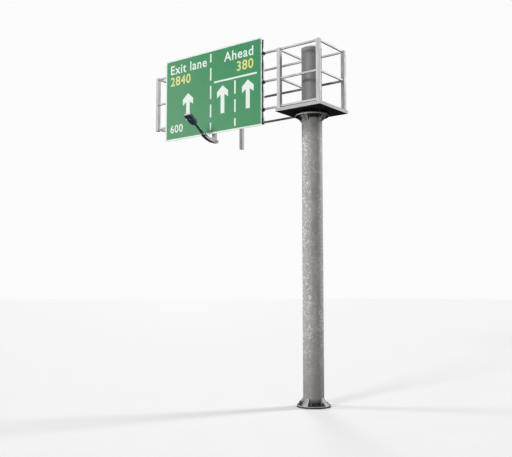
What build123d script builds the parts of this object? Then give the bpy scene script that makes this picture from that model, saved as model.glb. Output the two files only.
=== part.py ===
from build123d import *
import os
from math import cos, radians, sin

# Cantilever overhead sign gantry: a flanged tubular column, a square head cage on top of it,
# and a box truss reaching out over the road that carries a lit direction sign.
# Millimetres. Ground is Z = 0 and the column's axis is X = Y = 0.
# The truss reaches out along -X, and the sign faces -Y.

# Column and its cap
column_diameter = 508
column_wall = 12.5
head_wall = 10
cap_overhang = 6
cap_thickness = 30
cap_rise = 25

# Base plate, bolted down to the footing
foot_diameter = 825
base_plate_thickness = 50
base_rim_chamfer = 15
anchor_circle = 670
anchor_hole = 42
anchor_count = 8

# Wedge stiffeners round the column, at its foot and under its top flange
gusset_count = 4
gusset_tip_thickness = 20
gusset_cheek = 14
gusset_cover_setback = 10
foot_gusset_reach = 142
foot_gusset_height = 163
foot_gusset_root_width = 155
foot_gusset_tip_width = 98
top_gusset_reach = 110
top_gusset_height = 125
top_gusset_root_width = 170
top_gusset_tip_width = 130

# Top flange, a ring welded round the column some way under the platform
top_flange_diameter = 825
top_flange_thickness = 30
top_flange_gap = 80
platform_underside = 7171

# Platform: bottom plate, edge frame and chequered deck
platform_overhang = 25
bottom_plate_thickness = 15
edge_bar_height = 55
edge_bar_width = 60
edge_bar_wall = 5
deck_thickness = 10
deck_clearance = 2

# Head cage and cantilever truss
truss_width = 1250
truss_height = 1520
arm_reach = 4870
post_size = 100
post_wall = 6
post_cap_thickness = 6
chord_size = 50
chord_wall = 5
corner_walls_share = 1.2
low_chord_height = 56
middle_chord_height = 758
hanger_drop = 588

# Sign panel, its uprights and the clamps that hold it on the chords
sign_clear_of_column = 1010
sign_width = 3350
sign_height = 2250
sign_drop = 390
sign_thickness = 6
sign_corner = 60
upright_depth = 112
upright_width = 40
upright_wall = 5
upright_end_gap = 40
inner_upright_shares = (0.25, 0.75)
clamp_gap = 17
clamp_height = 75
clamp_wall = 6
clamp_jaw_depth = 34
clamp_jaw_thickness = 14

# Lamp and its curved bracket on the front hanger
bracket_radius = 800
bracket_sweep_angle = 34
bracket_heel_overhang = 45
bracket_heel_length = 120
bracket_root_depth = 72
bracket_tip_depth = 62
bracket_plate = 6
bracket_lip = 4
saddle_clearance = 0.3
boss_length = 45
boss_diameter = 76
collar_length = 55
collar_diameter = 84
collar_clearance = 0.3
neck_diameter = 60
neck_wall = 5
neck_length = 366
lamp_length = 355
lamp_width = 220
lamp_thickness = 67
lamp_shoulder_length = 75
lamp_shoulder_width = 110
lamp_corner = 14
lens_thickness = 6
lens_border = 22
lens_ledge = 8
reflector_depth = 52
cover_thickness = 5
cover_inset = 4

# Places worked out from the sizes above
top_flange_underside = platform_underside - top_flange_gap - top_flange_thickness
platform_size = truss_width + 2 * platform_overhang
bottom_plate_top = platform_underside + bottom_plate_thickness
deck_underside = bottom_plate_top + edge_bar_height
deck_top = deck_underside + deck_thickness
truss_top = deck_top + truss_height
post_line = (truss_width - post_size) / 2
chord_levels = {
    "top": truss_top - chord_size / 2,
    "middle": deck_top + middle_chord_height,
    "bottom": deck_top + low_chord_height,
}
end_post_x = post_size / 2 - arm_reach
hanger_x = (end_post_x - post_line) / 2
hanger_foot = deck_top - hanger_drop
chord_front = -post_line - chord_size / 2
upright_back = chord_front - clamp_gap
panel_back = upright_back - upright_depth
sign_right = -sign_clear_of_column
sign_left = sign_right - sign_width
sign_bottom = deck_top - sign_drop
bracket_heel_y = post_size / 2 - post_line + bracket_heel_overhang
bracket_bottom = hanger_foot - saddle_clearance - bracket_plate


def disc(diameter, thickness, bottom, bore=0):
    """A round plate lying flat with its underside at bottom, and a round hole through it if bore is given."""
    outline = Circle(diameter / 2)
    if bore:
        outline -= Circle(bore / 2)
    return Pos(0, 0, bottom) * extrude(outline, amount=thickness)


def base_plate():
    """The round plate at the foot, its upper rim chamfered, with anchor bolt holes between the stiffeners."""
    plate = disc(foot_diameter, base_plate_thickness, 0)
    plate = chamfer(plate.edges().group_by(Axis.Z)[-1], base_rim_chamfer)
    half_step = 180 / anchor_count
    ring = PolarLocations(anchor_circle / 2, anchor_count, start_angle=half_step)
    return plate - [place * extrude(Circle(anchor_hole / 2), amount=base_plate_thickness) for place in ring]


def square_section(size, wall):
    """The outline of a square hollow section, its outer corners cut as a rolled tube's are rounded."""
    outline = Rectangle(size, size)
    bore = size - 2 * wall
    return chamfer(outline.vertices(), wall * corner_walls_share) - Rectangle(bore, bore)


def hollow_bar(start, end, size, wall):
    """A square hollow section from one point straight to another, along a main axis."""
    run = Vector(*end) - Vector(*start)
    upright = abs(run.Z) > abs(run.X) + abs(run.Y)
    across = (1, 0, 0) if upright else (0, 0, 1)
    plane = Plane(origin=start, x_dir=across, z_dir=run.normalized())
    return extrude(plane * square_section(size, wall), amount=run.length)


def gusset(reach, height, root_width, tip_width):
    """A boxed wedge scribed to the column: two tapered cheeks, and a sloped cover set back between them."""
    radius = column_diameter / 2
    tip_reach = radius + gusset_tip_thickness
    root = Pos((radius + reach) / 2, 0) * Rectangle(radius + reach, root_width)
    tip = Pos(tip_reach / 2, 0, height) * Rectangle(tip_reach, tip_width)
    wedge = loft([root.face(), tip.face()], ruled=True) - extrude(Circle(radius), amount=height)
    root_gap = Pos(radius + reach, 0) * Rectangle(2 * gusset_cover_setback, root_width - 2 * gusset_cheek)
    tip_gap = Pos(tip_reach, 0, height) * Rectangle(2 * gusset_cover_setback, tip_width - 2 * gusset_cheek)
    return wedge - loft([root_gap.face(), tip_gap.face()], ruled=True)


def on_each_axis(wedge):
    """Copies of a stiffener turned to each main axis of the column."""
    step = 360 / gusset_count
    return [Rot(0, 0, turn * step) * wedge for turn in range(gusset_count)]


def column_nodes():
    """The column from its base plate up to the cap inside the cage."""
    inside = column_diameter - 2 * column_wall
    head_inside = column_diameter - 2 * head_wall
    shaft_length = platform_underside - base_plate_thickness
    cap_top = truss_top + cap_rise
    head_length = cap_top - cap_thickness - bottom_plate_top
    foot_wedge = gusset(foot_gusset_reach, foot_gusset_height, foot_gusset_root_width, foot_gusset_tip_width)
    top_wedge = gusset(top_gusset_reach, top_gusset_height, top_gusset_root_width, top_gusset_tip_width)
    hanging_wedge = mirror(top_wedge, Plane.XY)
    return {
        "base_plate": [base_plate()],
        "foot_gussets": on_each_axis(Pos(0, 0, base_plate_thickness) * foot_wedge),
        "column": [disc(column_diameter, shaft_length, base_plate_thickness, inside)],
        "top_gussets": on_each_axis(Pos(0, 0, top_flange_underside) * hanging_wedge),
        "top_flange": [disc(top_flange_diameter, top_flange_thickness, top_flange_underside, column_diameter)],
        "column_head": [disc(column_diameter, head_length, bottom_plate_top, head_inside)],
        "column_cap": [column_cap(cap_top)],
    }


def column_cap(cap_top):
    """The lid on the column, its upper rim chamfered."""
    lid = disc(column_diameter + 2 * cap_overhang, cap_thickness, cap_top - cap_thickness)
    return chamfer(lid.edges().group_by(Axis.Z)[-1], cap_overhang)


def platform_nodes():
    """Bottom plate, four edge bars and the deck, with the column passing through the deck."""
    inside = column_diameter - 2 * column_wall
    bottom = Rectangle(platform_size, platform_size) - Circle(inside / 2)
    deck = Rectangle(platform_size, platform_size) - Circle(column_diameter / 2 + deck_clearance)
    return {
        "platform_bottom_plate": [Pos(0, 0, platform_underside) * extrude(bottom, amount=bottom_plate_thickness)],
        "platform_edge_bars": edge_bars(),
        "platform_deck": [Pos(0, 0, deck_underside) * extrude(deck, amount=deck_thickness)],
    }


def edge_bars():
    """Hollow bars round the platform: the front and rear ones full length, the side ones between them."""
    section = Rectangle(edge_bar_width, edge_bar_height)
    section -= Rectangle(edge_bar_width - 2 * edge_bar_wall, edge_bar_height - 2 * edge_bar_wall)
    middle = bottom_plate_top + edge_bar_height / 2
    inset = (platform_size - edge_bar_width) / 2
    side_length = platform_size - 2 * edge_bar_width
    along_x = extrude(Plane.YZ * section, amount=platform_size / 2, both=True)
    along_y = extrude(Plane.XZ * section, amount=side_length / 2, both=True)
    fronts = [Pos(0, side * inset, middle) * along_x for side in (-1, 1)]
    sides = [Pos(side * inset, 0, middle) * along_y for side in (-1, 1)]
    return fronts + sides


def post(x, y, foot):
    """An upright hollow section from foot up to the underside of its top cap."""
    return hollow_bar((x, y, foot), (x, y, truss_top - post_cap_thickness), post_size, post_wall)


def truss_nodes():
    """Posts, chords and cross rails of the cage and the arm."""
    nodes = {}
    sides = {"front": -post_line, "rear": post_line}
    for side, y in sides.items():
        nodes[f"cage_post_{side}_left"] = [post(-post_line, y, deck_top)]
        nodes[f"cage_post_{side}_right"] = [post(post_line, y, deck_top)]
        nodes[f"hanger_post_{side}"] = [post(hanger_x, y, hanger_foot + post_cap_thickness)]
        nodes[f"end_post_{side}"] = [post(end_post_x, y, deck_top)]
        for level, z in chord_levels.items():
            nodes[f"{side}_{level}_chord"] = chord(y, z)
    nodes["post_caps"] = post_caps(sides.values())
    nodes["cage_right_rails"] = cross_rails(post_line, ("top", "middle"))
    nodes["cage_left_rails"] = cross_rails(-post_line, ("top", "middle"))
    nodes["hanger_frame_rails"] = cross_rails(hanger_x, ("top", "bottom"))
    nodes["end_frame_rails"] = cross_rails(end_post_x, ("top", "bottom"))
    return nodes


def post_caps(lines):
    """A square plate closing the top of every post and the foot of each hanger."""
    plate = extrude(Rectangle(post_size, post_size), amount=post_cap_thickness)
    stations = (end_post_x, hanger_x, -post_line, post_line)
    tops = [Pos(x, y, truss_top - post_cap_thickness) * plate for y in lines for x in stations]
    return tops + [Pos(hanger_x, y, hanger_foot) * plate for y in lines]


def chord(y, z):
    """One chord of the truss, welded in three lengths between the posts of its side."""
    stations = (end_post_x, hanger_x, -post_line, post_line)
    half = post_size / 2
    ends = [(left + half, right - half) for left, right in zip(stations, stations[1:])]
    return [hollow_bar((left, y, z), (right, y, z), chord_size, chord_wall) for left, right in ends]


def cross_rails(x, levels):
    """Rails across the truss between a front and a rear post."""
    reach = post_line - post_size / 2
    return [hollow_bar((x, -reach, chord_levels[level]), (x, reach, chord_levels[level]), chord_size, chord_wall)
            for level in levels]


def upright_places():
    """The middle of each sign upright along X: one at each edge of the sign and two between."""
    first = sign_left + upright_width / 2
    last = sign_right - upright_width / 2
    inner = [sign_left + sign_width * share for share in inner_upright_shares]
    return [first, *inner, last]


def sign_nodes():
    """The sign panel, the channels behind it and the clamps between them and the chords."""
    middle = Vector(sign_left + sign_width / 2, panel_back, sign_bottom + sign_height / 2)
    face = Plane(origin=middle, x_dir=(1, 0, 0), z_dir=(0, -1, 0))
    panel = extrude(face * RectangleRounded(sign_width, sign_height, sign_corner), amount=sign_thickness)
    places = upright_places()
    return {
        "sign_panel": [panel],
        "sign_edge_uprights": [sign_upright(places[0], -1), sign_upright(places[-1], 1)],
        "sign_inner_uprights": [sign_upright(x, -1) for x in places[1:-1]],
        "sign_clamps": [sign_clamp(x, z) for x in places for z in chord_levels.values()],
    }


def sign_upright(x, open_side):
    """A channel standing behind the panel, open along X, notched from behind where the clamps go in."""
    length = sign_height - 2 * upright_end_gap
    outline = Rectangle(upright_width, upright_depth)
    hollow = Rectangle(upright_width - upright_wall, upright_depth - 2 * upright_wall)
    outline -= Pos(open_side * upright_wall / 2, 0) * hollow
    foot = Pos(x, upright_back - upright_depth / 2, sign_bottom + upright_end_gap)
    channel = foot * extrude(outline, amount=length)
    notch_depth = upright_depth - upright_wall
    for level in chord_levels.values():
        notch = Box(upright_width, notch_depth, clamp_height)
        channel -= Pos(x, upright_back - notch_depth / 2, level - clamp_height / 2) * notch
    return channel


def sign_clamp(x, level):
    """A short hollow box from inside an upright's notch to a chord, with a jaw under the chord."""
    box_front = panel_back + upright_wall
    depth = chord_front - box_front
    section = Rectangle(depth, clamp_height) - Rectangle(depth - 2 * clamp_wall, clamp_height - 2 * clamp_wall)
    middle = Pos(x, box_front + depth / 2, level - clamp_height / 2)
    box = middle * extrude(Plane.YZ * section, amount=upright_width / 2, both=True)
    jaw = Box(upright_width, clamp_jaw_depth, clamp_jaw_thickness)
    jaw_middle = level - (chord_size + clamp_jaw_thickness) / 2
    return box + Pos(x, chord_front + clamp_jaw_depth / 2, jaw_middle) * jaw


def bracket_tip(turn):
    """The lower and upper corners of the bracket's outer end in its side view, from the heel's bottom corner."""
    low = Vector(bracket_heel_length + bracket_radius * sin(turn), bracket_radius * (1 - cos(turn)))
    return low, low + Vector(-sin(turn), cos(turn)) * bracket_tip_depth


def bracket_outline():
    """The bracket from the side: flat under the hanger, then curving up and growing slimmer to its tip."""
    low_tip, high_tip = bracket_tip(radians(bracket_sweep_angle))
    heel_top = (0, bracket_root_depth)
    bend_top = (bracket_heel_length, bracket_root_depth)
    straight_down = -90
    sole = Line((0, 0), (bracket_heel_length, 0))
    belly = CenterArc((bracket_heel_length, bracket_radius), bracket_radius, straight_down, bracket_sweep_angle)
    back = TangentArc(bend_top, high_tip, tangent=(1, 0))
    return make_face([sole, belly, Line(low_tip, high_tip), back, Line(bend_top, heel_top), Line(heel_top, (0, 0))])


def bracket_side_view():
    """The plane of the bracket's side view: X towards the lamp, Y up, at the bottom of its heel."""
    return Plane(origin=(hanger_x, bracket_heel_y, bracket_bottom), x_dir=(0, -1, 0), z_dir=(-1, 0, 0))


def bracket_seat():
    """The frame on the bracket's outer end that the neck stands on: Z along the neck, Y away from the ground."""
    turn = radians(bracket_sweep_angle)
    low_tip, high_tip = bracket_tip(turn)
    middle = bracket_side_view().from_local_coords((low_tip + high_tip) / 2)
    return Plane(origin=middle, x_dir=(1, 0, 0), z_dir=(0, -cos(turn), sin(turn)))


def lamp_bracket():
    """A curved box arm: a raised rim all round, two recessed cheeks clasping the hanger, and a boss for the neck."""
    view = bracket_side_view()
    cheeks_half_width = post_size / 2 + bracket_plate
    outline = bracket_outline()
    inset = offset(outline, -bracket_plate)
    arm = extrude(view * outline, amount=cheeks_half_width + bracket_lip, both=True)
    arm -= extrude(view * inset, amount=post_size / 2, both=True)
    for side in (-1, 1):
        arm -= extrude(view.offset(side * cheeks_half_width) * inset, amount=side * bracket_lip)
    boss = Circle(boss_diameter / 2) - Circle(neck_diameter / 2 + collar_clearance)
    slot = Pos(hanger_x, -post_line, hanger_foot + hanger_drop / 2) * Box(post_size, post_size, hanger_drop)
    return arm + extrude(bracket_seat() * boss, amount=boss_length) - slot


def lamp_outline():
    """The lamp seen square on: a narrow shoulder at the neck, flaring to a full-width body."""
    shoulder = lamp_shoulder_width / 2
    body = lamp_width / 2
    outline = Polyline(
        (-shoulder, 0),
        (-body, lamp_shoulder_length),
        (-body, lamp_length),
        (body, lamp_length),
        (body, lamp_shoulder_length),
        (shoulder, 0),
        close=True,
    )
    face = make_face(outline)
    return fillet(face.vertices(), lamp_corner)


def lens_window(inset):
    """The window in the lamp's upper face, with the named inset from the body's edges."""
    width = lamp_width - 2 * inset
    length = lamp_length - lamp_shoulder_length - 2 * inset
    return Pos(0, lamp_shoulder_length + inset + length / 2) * RectangleRounded(width, length, lamp_corner)


def lamp_nodes():
    """Bracket, collar, neck, housing, cover and lens, in a line from the front hanger."""
    seat = bracket_seat()
    collar = Circle(collar_diameter / 2) - Circle(neck_diameter / 2 + collar_clearance)
    neck = Circle(neck_diameter / 2) - Circle(neck_diameter / 2 - neck_wall)
    shoulder = seat.offset(neck_length)
    upper = Plane(origin=shoulder.origin, x_dir=-shoulder.x_dir, z_dir=shoulder.y_dir)
    return {
        "lamp_bracket": [lamp_bracket()],
        "lamp_collar": [extrude(seat.offset(boss_length) * collar, amount=collar_length)],
        "lamp_neck": [extrude(seat * neck, amount=neck_length)],
        "lamp_housing": [lamp_housing(upper)],
        "lamp_cover": [lamp_cover(upper)],
        "lamp_lens": [lamp_lens(upper)],
    }


def lamp_housing(upper):
    """The cast body, with a reflector hollow under a ledge for the lens in its upper face."""
    half = lamp_thickness / 2
    top = upper.offset(half)
    body = extrude(upper.offset(-half) * lamp_outline(), amount=lamp_thickness)
    body -= extrude(top * lens_window(lens_border), amount=-lens_thickness)
    return body - extrude(top * lens_window(lens_border + lens_ledge), amount=-reflector_depth)


def lamp_cover(upper):
    """The plate under the body that closes its gear space, a little smaller than the body all round."""
    under = upper.offset(-lamp_thickness / 2)
    return extrude(under * offset(lamp_outline(), -cover_inset), amount=-cover_thickness)


def lamp_lens(upper):
    """The flat glass on the ledge, flush with the lamp's upper face."""
    return extrude(upper.offset(lamp_thickness / 2) * lens_window(lens_border), amount=-lens_thickness)


def main():
    """Build every piece and write each node to its own file."""
    os.makedirs("parts", exist_ok=True)
    nodes = {**column_nodes(), **platform_nodes(), **truss_nodes(), **sign_nodes(), **lamp_nodes()}
    for name, solids in nodes.items():
        shape = solids[0] if len(solids) == 1 else Compound(children=solids)
        export_step(shape, f"parts/{name}.step")


main()
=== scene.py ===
import math

import bmesh
import bpy
from mathutils import Matrix, Vector


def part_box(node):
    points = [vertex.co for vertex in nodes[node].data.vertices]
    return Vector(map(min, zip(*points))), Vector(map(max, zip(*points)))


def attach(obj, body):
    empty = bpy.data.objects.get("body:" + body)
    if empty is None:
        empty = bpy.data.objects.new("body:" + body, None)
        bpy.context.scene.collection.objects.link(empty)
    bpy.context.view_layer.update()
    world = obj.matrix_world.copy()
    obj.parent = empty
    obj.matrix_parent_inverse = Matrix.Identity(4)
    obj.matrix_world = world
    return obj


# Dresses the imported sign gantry: weathered zinc, the sign's face, fasteners, welds and the lamp's fittings
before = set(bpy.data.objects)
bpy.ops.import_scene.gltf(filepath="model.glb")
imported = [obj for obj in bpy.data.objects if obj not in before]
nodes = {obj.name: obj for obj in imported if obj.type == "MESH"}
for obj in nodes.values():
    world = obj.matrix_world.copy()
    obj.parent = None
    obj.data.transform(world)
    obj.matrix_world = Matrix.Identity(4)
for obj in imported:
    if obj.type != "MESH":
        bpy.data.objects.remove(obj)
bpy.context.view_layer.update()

# The gantry's axes: X along the truss, Y across it, Z up
ALONG, ACROSS, UP = range(3)
X, Y, Z = Vector((1, 0, 0)), Vector((0, 1, 0)), Vector((0, 0, 1))
TURNED_OVER = Matrix.Rotation(math.pi, 4, "X")

# Camera, fitted to the photograph, in metres and degrees
CAMERA_PLACE = (9.534, -14.570, 2.849)
CAMERA_PITCH, CAMERA_TURN = 4.73, 37.766
CAMERA_LENS, CAMERA_SENSOR = 50.0, 36.0
CAMERA_CLIP = 1000.0

# Suns: where each one shines from and how strongly
SUNS = (
    ("key", (-0.86, -0.46, 0.24), 1.45),
    ("fill", (0.00, -0.97, 0.22), 1.70),
    ("rim", (0.47, 0.81, 0.34), 2.20),
    ("back", (-0.66, 0.70, 0.30), 0.8),
)
SUN_ANGLE = 16.0

# Sky, backdrop and the pale floor
WORLD_LIGHT = 0.15
SKY_COLOUR = (1.0, 1.0, 1.0, 1.0)
BACKDROP = (0.97, 0.97, 0.975, 1.0)
FLOOR_COLOUR = (0.36, 0.36, 0.37, 1.0)
FLOOR_SEEN = (0.93, 0.93, 0.94, 1.0)
FLOOR_STAIN = (0.5, 0.5, 0.5, 1.0)
FLOOR_GLOW = 0.24
FLOOR_RADIUS = 160.0
FLOOR_DROP = 0.001
FLOOR_SIDES = 96

# Weathering and painted shade in metres: bands from where a change starts to where it is full, in height or
# BELOW a flange
WASHED_SIDE = (0.729, -0.685)
WASHED_BAND = (0.248, 0.205)
FLECK_FOOT_BAND, FLECK_HEAD_BAND = (0.4, 1.5), (7.0, 6.6)
LOW_DIRT_BAND, FOOT_SHADE_BAND = (2.4, 0.05), (0.28, 0.08)
SHADE_FADE_BELOW, DEEP_SHADE_BELOW = (0.75, 0.12), (0.10, 0.035)
SILT_AND_SHADE_TOP_BAND, SILT_AND_SHADE_SIDE_BAND = (0.10, 0.06), (0.052, 0.040)
SIGN_PALER_BAND, SIGN_PALER_SLANT = (8.3, 3.4), 0.8
SHADE_REACH, CHANNEL_SHADE_REACH = 0.25, 0.12
RECESS_FADE = 0.001
ZINC_RELIEF, FINE_RELIEF = 0.0006, 0.0004

# Markings on the sign, measured from its lower left corner
SHEET = 0.0012
BORDER_INSET = 0.003
BORDER_WIDTH = 0.040  # at the left and at the bottom
BORDER_TOP, BORDER_RIGHT = 0.026, 0.018
SIGN_CORNER, BORDER_INNER_CORNER = 0.060, 0.030
MARK_WIDTH, MARK_CORNER = 0.050, 0.012
DIVIDER_AT = 1.66
DIVIDER_DASHES = ((0.102, 0.303), (0.450, 0.797), (0.939, 1.298), (1.438, 1.780), (1.932, 2.163))
LANE_LINE_AT = 2.493
LANE_LINE_DASHES = ((0.107, 0.310), (0.464, 0.798), (0.949, 1.296))
BAR_FROM, BAR_TO, BAR_LEVEL = 1.773, 3.205, 1.367
BAR_WIDTH, BAR_ROUND_SHARE = 0.046, 0.98
ARROWS_AT = (0.843, 2.073, 2.913)
ARROW_TIP, ARROW_FOOT = 1.243, 0.500
ARROW_SHOULDER, ARROW_BARB, ARROW_NOTCH = 1.083, 0.917, 1.003
ARROW_HALF_WIDTH, ARROW_SHAFT_HALF = 0.189, 0.066
CAPITAL_HEIGHT, DISTANCE_HEIGHT = 0.240, 0.205
WORD_LEVEL, NUMBER_LEVEL, DISTANCE_LEVEL = 1.855, 1.530, 0.215
WORDS_LEFT, WORDS_RIGHT = 0.190, 3.090
LETTER_WEIGHT, LETTER_SPACING = 0.015, 1.10
LETTER_STEPS = 6

# Bolts, in shares of their size, of the washer's height, or of the hexagon's or the thread's own radius
WASHER_SHARES = ((0.96, 0.0), (1.0, 0.3), (1.0, 0.8), (0.96, 1.0))
WASHER_HEIGHT_SHARE, HEXAGON_HEIGHT_SHARE, CHAMFER_SHARE = 0.12, 0.80, 0.10
HEXAGON_SHARE, HEXAGON_SEAT_SHARE, HEXAGON_TOP_SHARE = 0.92, 0.95, 0.88
THREAD_SHARE, THREAD_ROOT_SHARE, THREAD_END_SHARE = 0.5, 0.93, 0.85
THREAD_PITCH, FEWEST_THREADS = 0.006, 2
WASHER_SIDES, HEXAGON_SIDES, THREAD_SIDES = 24, 6, 16

# Fasteners and trim
ANCHOR_CIRCLE = 0.670
ANCHOR_COUNT = 8
ANCHOR_SIZE, ANCHOR_STANDS = 0.036, 0.040
STUD_SIZE, STUD_STANDS = 0.030, 0.020
CLAMP_JAW, CLAMP_JAW_UNDER = 0.034, 0.039
CLAMP_BOLT = 0.012
CLAMP_WALL, PLUG_FIT, PLUG_CORNER = 0.006, 0.0004, 0.004
PLUG_RINGS = ((0.008, 0.0), (0.0035, 0.0), (0.0025, 0.002), (0.0025, 0.012), (0.0040, 0.014))
CHANNEL_WALL = 0.005
COVER_GROOVE, COVER_SHEET, COVER_FIT, COVER_END = 0.060, 0.002, 0.0005, 0.012
BRACKET_LIP = 0.004
BRACKET_BOLT = 0.014
BRACKET_BOLT_SPREAD, BRACKET_BOLT_RISE = 0.026, 0.038

# Welds: radii of the beads, and their ripples as (share of the radius, turn from ring to ring)
WELD_RADIUS = 0.005
POST_CAP_WELD, POST_FOOT_WELD = 0.0025, 0.0070
COLUMN_END_WELD, COLUMN_RING_WELD = 0.0080, 0.0065
WELD_RIPPLES = ((0.14, 2.1), (0.06, 5.3))
WELD_SIDES = 6
WELD_STEP, SQUARE_WELD_STEP = 0.010, 0.009
GUSSET_COUNT = 4
GUSSET_CLEAR = 1.5  # degrees
FEWEST_POINTS = 3
SAME_LEVEL, SAME_PLACE = 1e-4, 1e-5

# Platform
TREAD_PITCH = 0.046
TREAD_LENGTH, TREAD_WIDTH, TREAD_HEIGHT = 0.034, 0.011, 0.0025
TREAD_SHARES = ((1.0, 0.0), (0.45, 0.85), (-0.45, 0.85), (-1.0, 0.0), (-0.45, -0.85), (0.45, -0.85))
TREAD_TOP_SHARE = 0.62
BAR_DEPTH, BAR_END_INSET = 0.060, 0.0055
BAR_END_FACES = (0.0005, 0.006)

# Lamp, its tilt as in the solids
LAMP_TILT = math.radians(34.0)
LENS_CORNER = 0.014
GASKET_RADIUS, GASKET_STEP, GASKET_SIDES = 0.0035, 0.02, 8
REFLECTOR_CLEAR, REFLECTOR_CORNER = 0.010, 0.010
REFLECTOR_RINGS = ((0.0, 0.010), (0.004, 0.020), (0.014, 0.034), (0.030, 0.043), (0.050, 0.047))
TUBE_DEPTH, TUBE_HALF_LENGTH, TUBE_RADIUS = 0.026, 0.062, 0.013
TUBE_SHARES = ((0.45, 1.0), (0.6, 0.86), (0.62, 0.74), (0.9, 0.70), (1.0, 0.6))
TUBE_SIDES = 20
COVER_SCREW_INSET, COVER_SCREW_START = 0.014, 0.085
SCREW_RINGS = ((0.0065, 0.0), (0.0065, 0.002), (0.0050, 0.0036), (0.0028, 0.0040), (0.0024, 0.0022))
VENT_RINGS = ((0.017, 0.0), (0.017, 0.003), (0.012, 0.005), (0.011, 0.009), (0.008, 0.011))
SCREW_SIDES, VENT_SIDES = 14, 20
COLLAR_SCREW = 0.008


# Node helpers
def add(tree, kind, inputs=None, **settings):
    """A shader node with its settings, and with values or other nodes' sockets on its inputs."""
    made = tree.nodes.new("ShaderNode" + kind)
    for key, value in settings.items():
        setattr(made, key, value)
    for key, value in (inputs or {}).items():
        if isinstance(value, bpy.types.NodeSocket):
            tree.links.new(value, made.inputs[key])
        else:
            made.inputs[key].default_value = value
    return made


def math_node(tree, operation, first, second=0.0, clamp=False):
    """One sum on numbers or sockets."""
    return add(tree, "Math", {0: first, 1: second}, operation=operation, use_clamp=clamp).outputs[0]


def plus(tree, first, second, clamp=False):
    """first and second added."""
    return math_node(tree, "ADD", first, second, clamp)


def times(tree, first, second):
    """first and second multiplied."""
    return math_node(tree, "MULTIPLY", first, second)


def larger(tree, first, second):
    """The larger of first and second."""
    return math_node(tree, "MAXIMUM", first, second)


def between(tree, value, low, high, to_low=0.0, to_high=1.0):
    """value, mapped smoothly from low..high to to_low..to_high."""
    inputs = {"Value": value, "From Min": low, "From Max": high, "To Min": to_low, "To Max": to_high}
    return add(tree, "MapRange", inputs, interpolation_type="SMOOTHSTEP").outputs[0]


def mixed(tree, share, first, second):
    """first and second, mixed by share."""
    return add(tree, "Mix", {0: share, 6: first, 7: second}, data_type="RGBA").outputs[2]


def placed(tree, stretch=(1.0, 1.0, 1.0)):
    """The gantry's own coordinates in metres, multiplied by stretch."""
    coords = add(tree, "TexCoord").outputs["Object"]
    return add(tree, "Mapping", {"Vector": coords, "Scale": stretch}).outputs[0]


def position(tree, axis):
    """One of the gantry's own coordinates in metres."""
    return add(tree, "SeparateXYZ", {0: placed(tree)}).outputs[axis]


def noise(tree, scale, detail=4.0, rough=0.6, stretch=(1.0, 1.0, 1.0), distortion=0.0):
    """A cloudy pattern from 0 to 1, scale features to the metre."""
    inputs = {"Vector": placed(tree, stretch), "Scale": scale, "Detail": detail, "Roughness": rough,
              "Distortion": distortion}
    return add(tree, "TexNoise", inputs).outputs[0]


def cells(tree, scale, output, stretch=(1.0, 1.0, 1.0), randomness=1.0):
    """A pattern of crystals, scale to the metre."""
    inputs = {"Vector": placed(tree, stretch), "Scale": scale, "Randomness": randomness}
    return add(tree, "TexVoronoi", inputs, feature="F1").outputs[output]


def facing(tree, axis):
    """How far the surface faces along one axis of the gantry, from -1 to 1."""
    normal = add(tree, "NewGeometry").outputs["Normal"]
    return add(tree, "SeparateXYZ", {0: normal}).outputs[axis]


def hollows(tree, reach):
    """How far a place is shut in by the surfaces round it, from 0 in the open to 1 deep in a corner."""
    open_share = add(tree, "AmbientOcclusion", {"Distance": reach}, samples=8).outputs["AO"]
    return math_node(tree, "SUBTRACT", 1.0, open_share, clamp=True)


def edges(tree, radius):
    """1 along sharp edges, 0 on flat faces."""
    round_normal = add(tree, "Bevel", {"Radius": radius}, samples=6).outputs[0]
    normal = add(tree, "NewGeometry").outputs["Normal"]
    alike = add(tree, "VectorMath", {0: round_normal, 1: normal}, operation="DOT_PRODUCT").outputs["Value"]
    return between(tree, alike, 0.995, 0.90)


def bumped(tree, height, strength, depth):
    """A normal pressed by a height from 0 to 1, depth metres high."""
    return add(tree, "Bump", {"Height": height, "Strength": strength, "Distance": depth}).outputs[0]


def new_material(name, **fixed):
    """An empty material with one Principled shader whose fixed sockets are set."""
    made = bpy.data.materials.new(name)
    made.use_nodes = True
    shader = made.node_tree.nodes["Principled BSDF"]
    for key, value in fixed.items():
        shader.inputs[key.replace("_", " ")].default_value = value
    return made, made.node_tree, shader


def wire(tree, shader, **patterns):
    """Links patterns to the shader's sockets of the same names."""
    for key, socket in patterns.items():
        tree.links.new(socket, shader.inputs[key.replace("_", " ")])


def rgb(red, green, blue):
    """A colour given as it looks on screen, from 0 to 255, in linear light."""
    def linear(value):
        share = value / 255.0
        return share / 12.92 if share <= 0.04045 else ((share + 0.055) / 1.055) ** 2.4
    return (linear(red), linear(green), linear(blue), 1.0)


# Colours of weather and dirt, and of painted light and shade
PAINTED_LIGHT_PALE, FLECK, BARE_EDGE_AND_HIGHLIGHT = rgb(246, 246, 245), rgb(240, 239, 236), rgb(238, 238, 236)
LOW_DIRT_AND_SHADE, UNDER_FLANGE_SHADE, SHADE_AND_SILT_DARK = rgb(40, 38, 37), rgb(20, 19, 18), rgb(17, 16, 15)
SHEETING_RUN, CELL_LINE, CHANNEL_SHADE = rgb(150, 158, 150), rgb(0, 0, 0), rgb(30, 33, 46)
PANEL_DARK, PANEL_LIGHT = rgb(158, 160, 161), rgb(186, 188, 189)
GLASS_CLEAN, GLASS_DUSTY = rgb(238, 242, 244), rgb(214, 217, 216)
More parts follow.
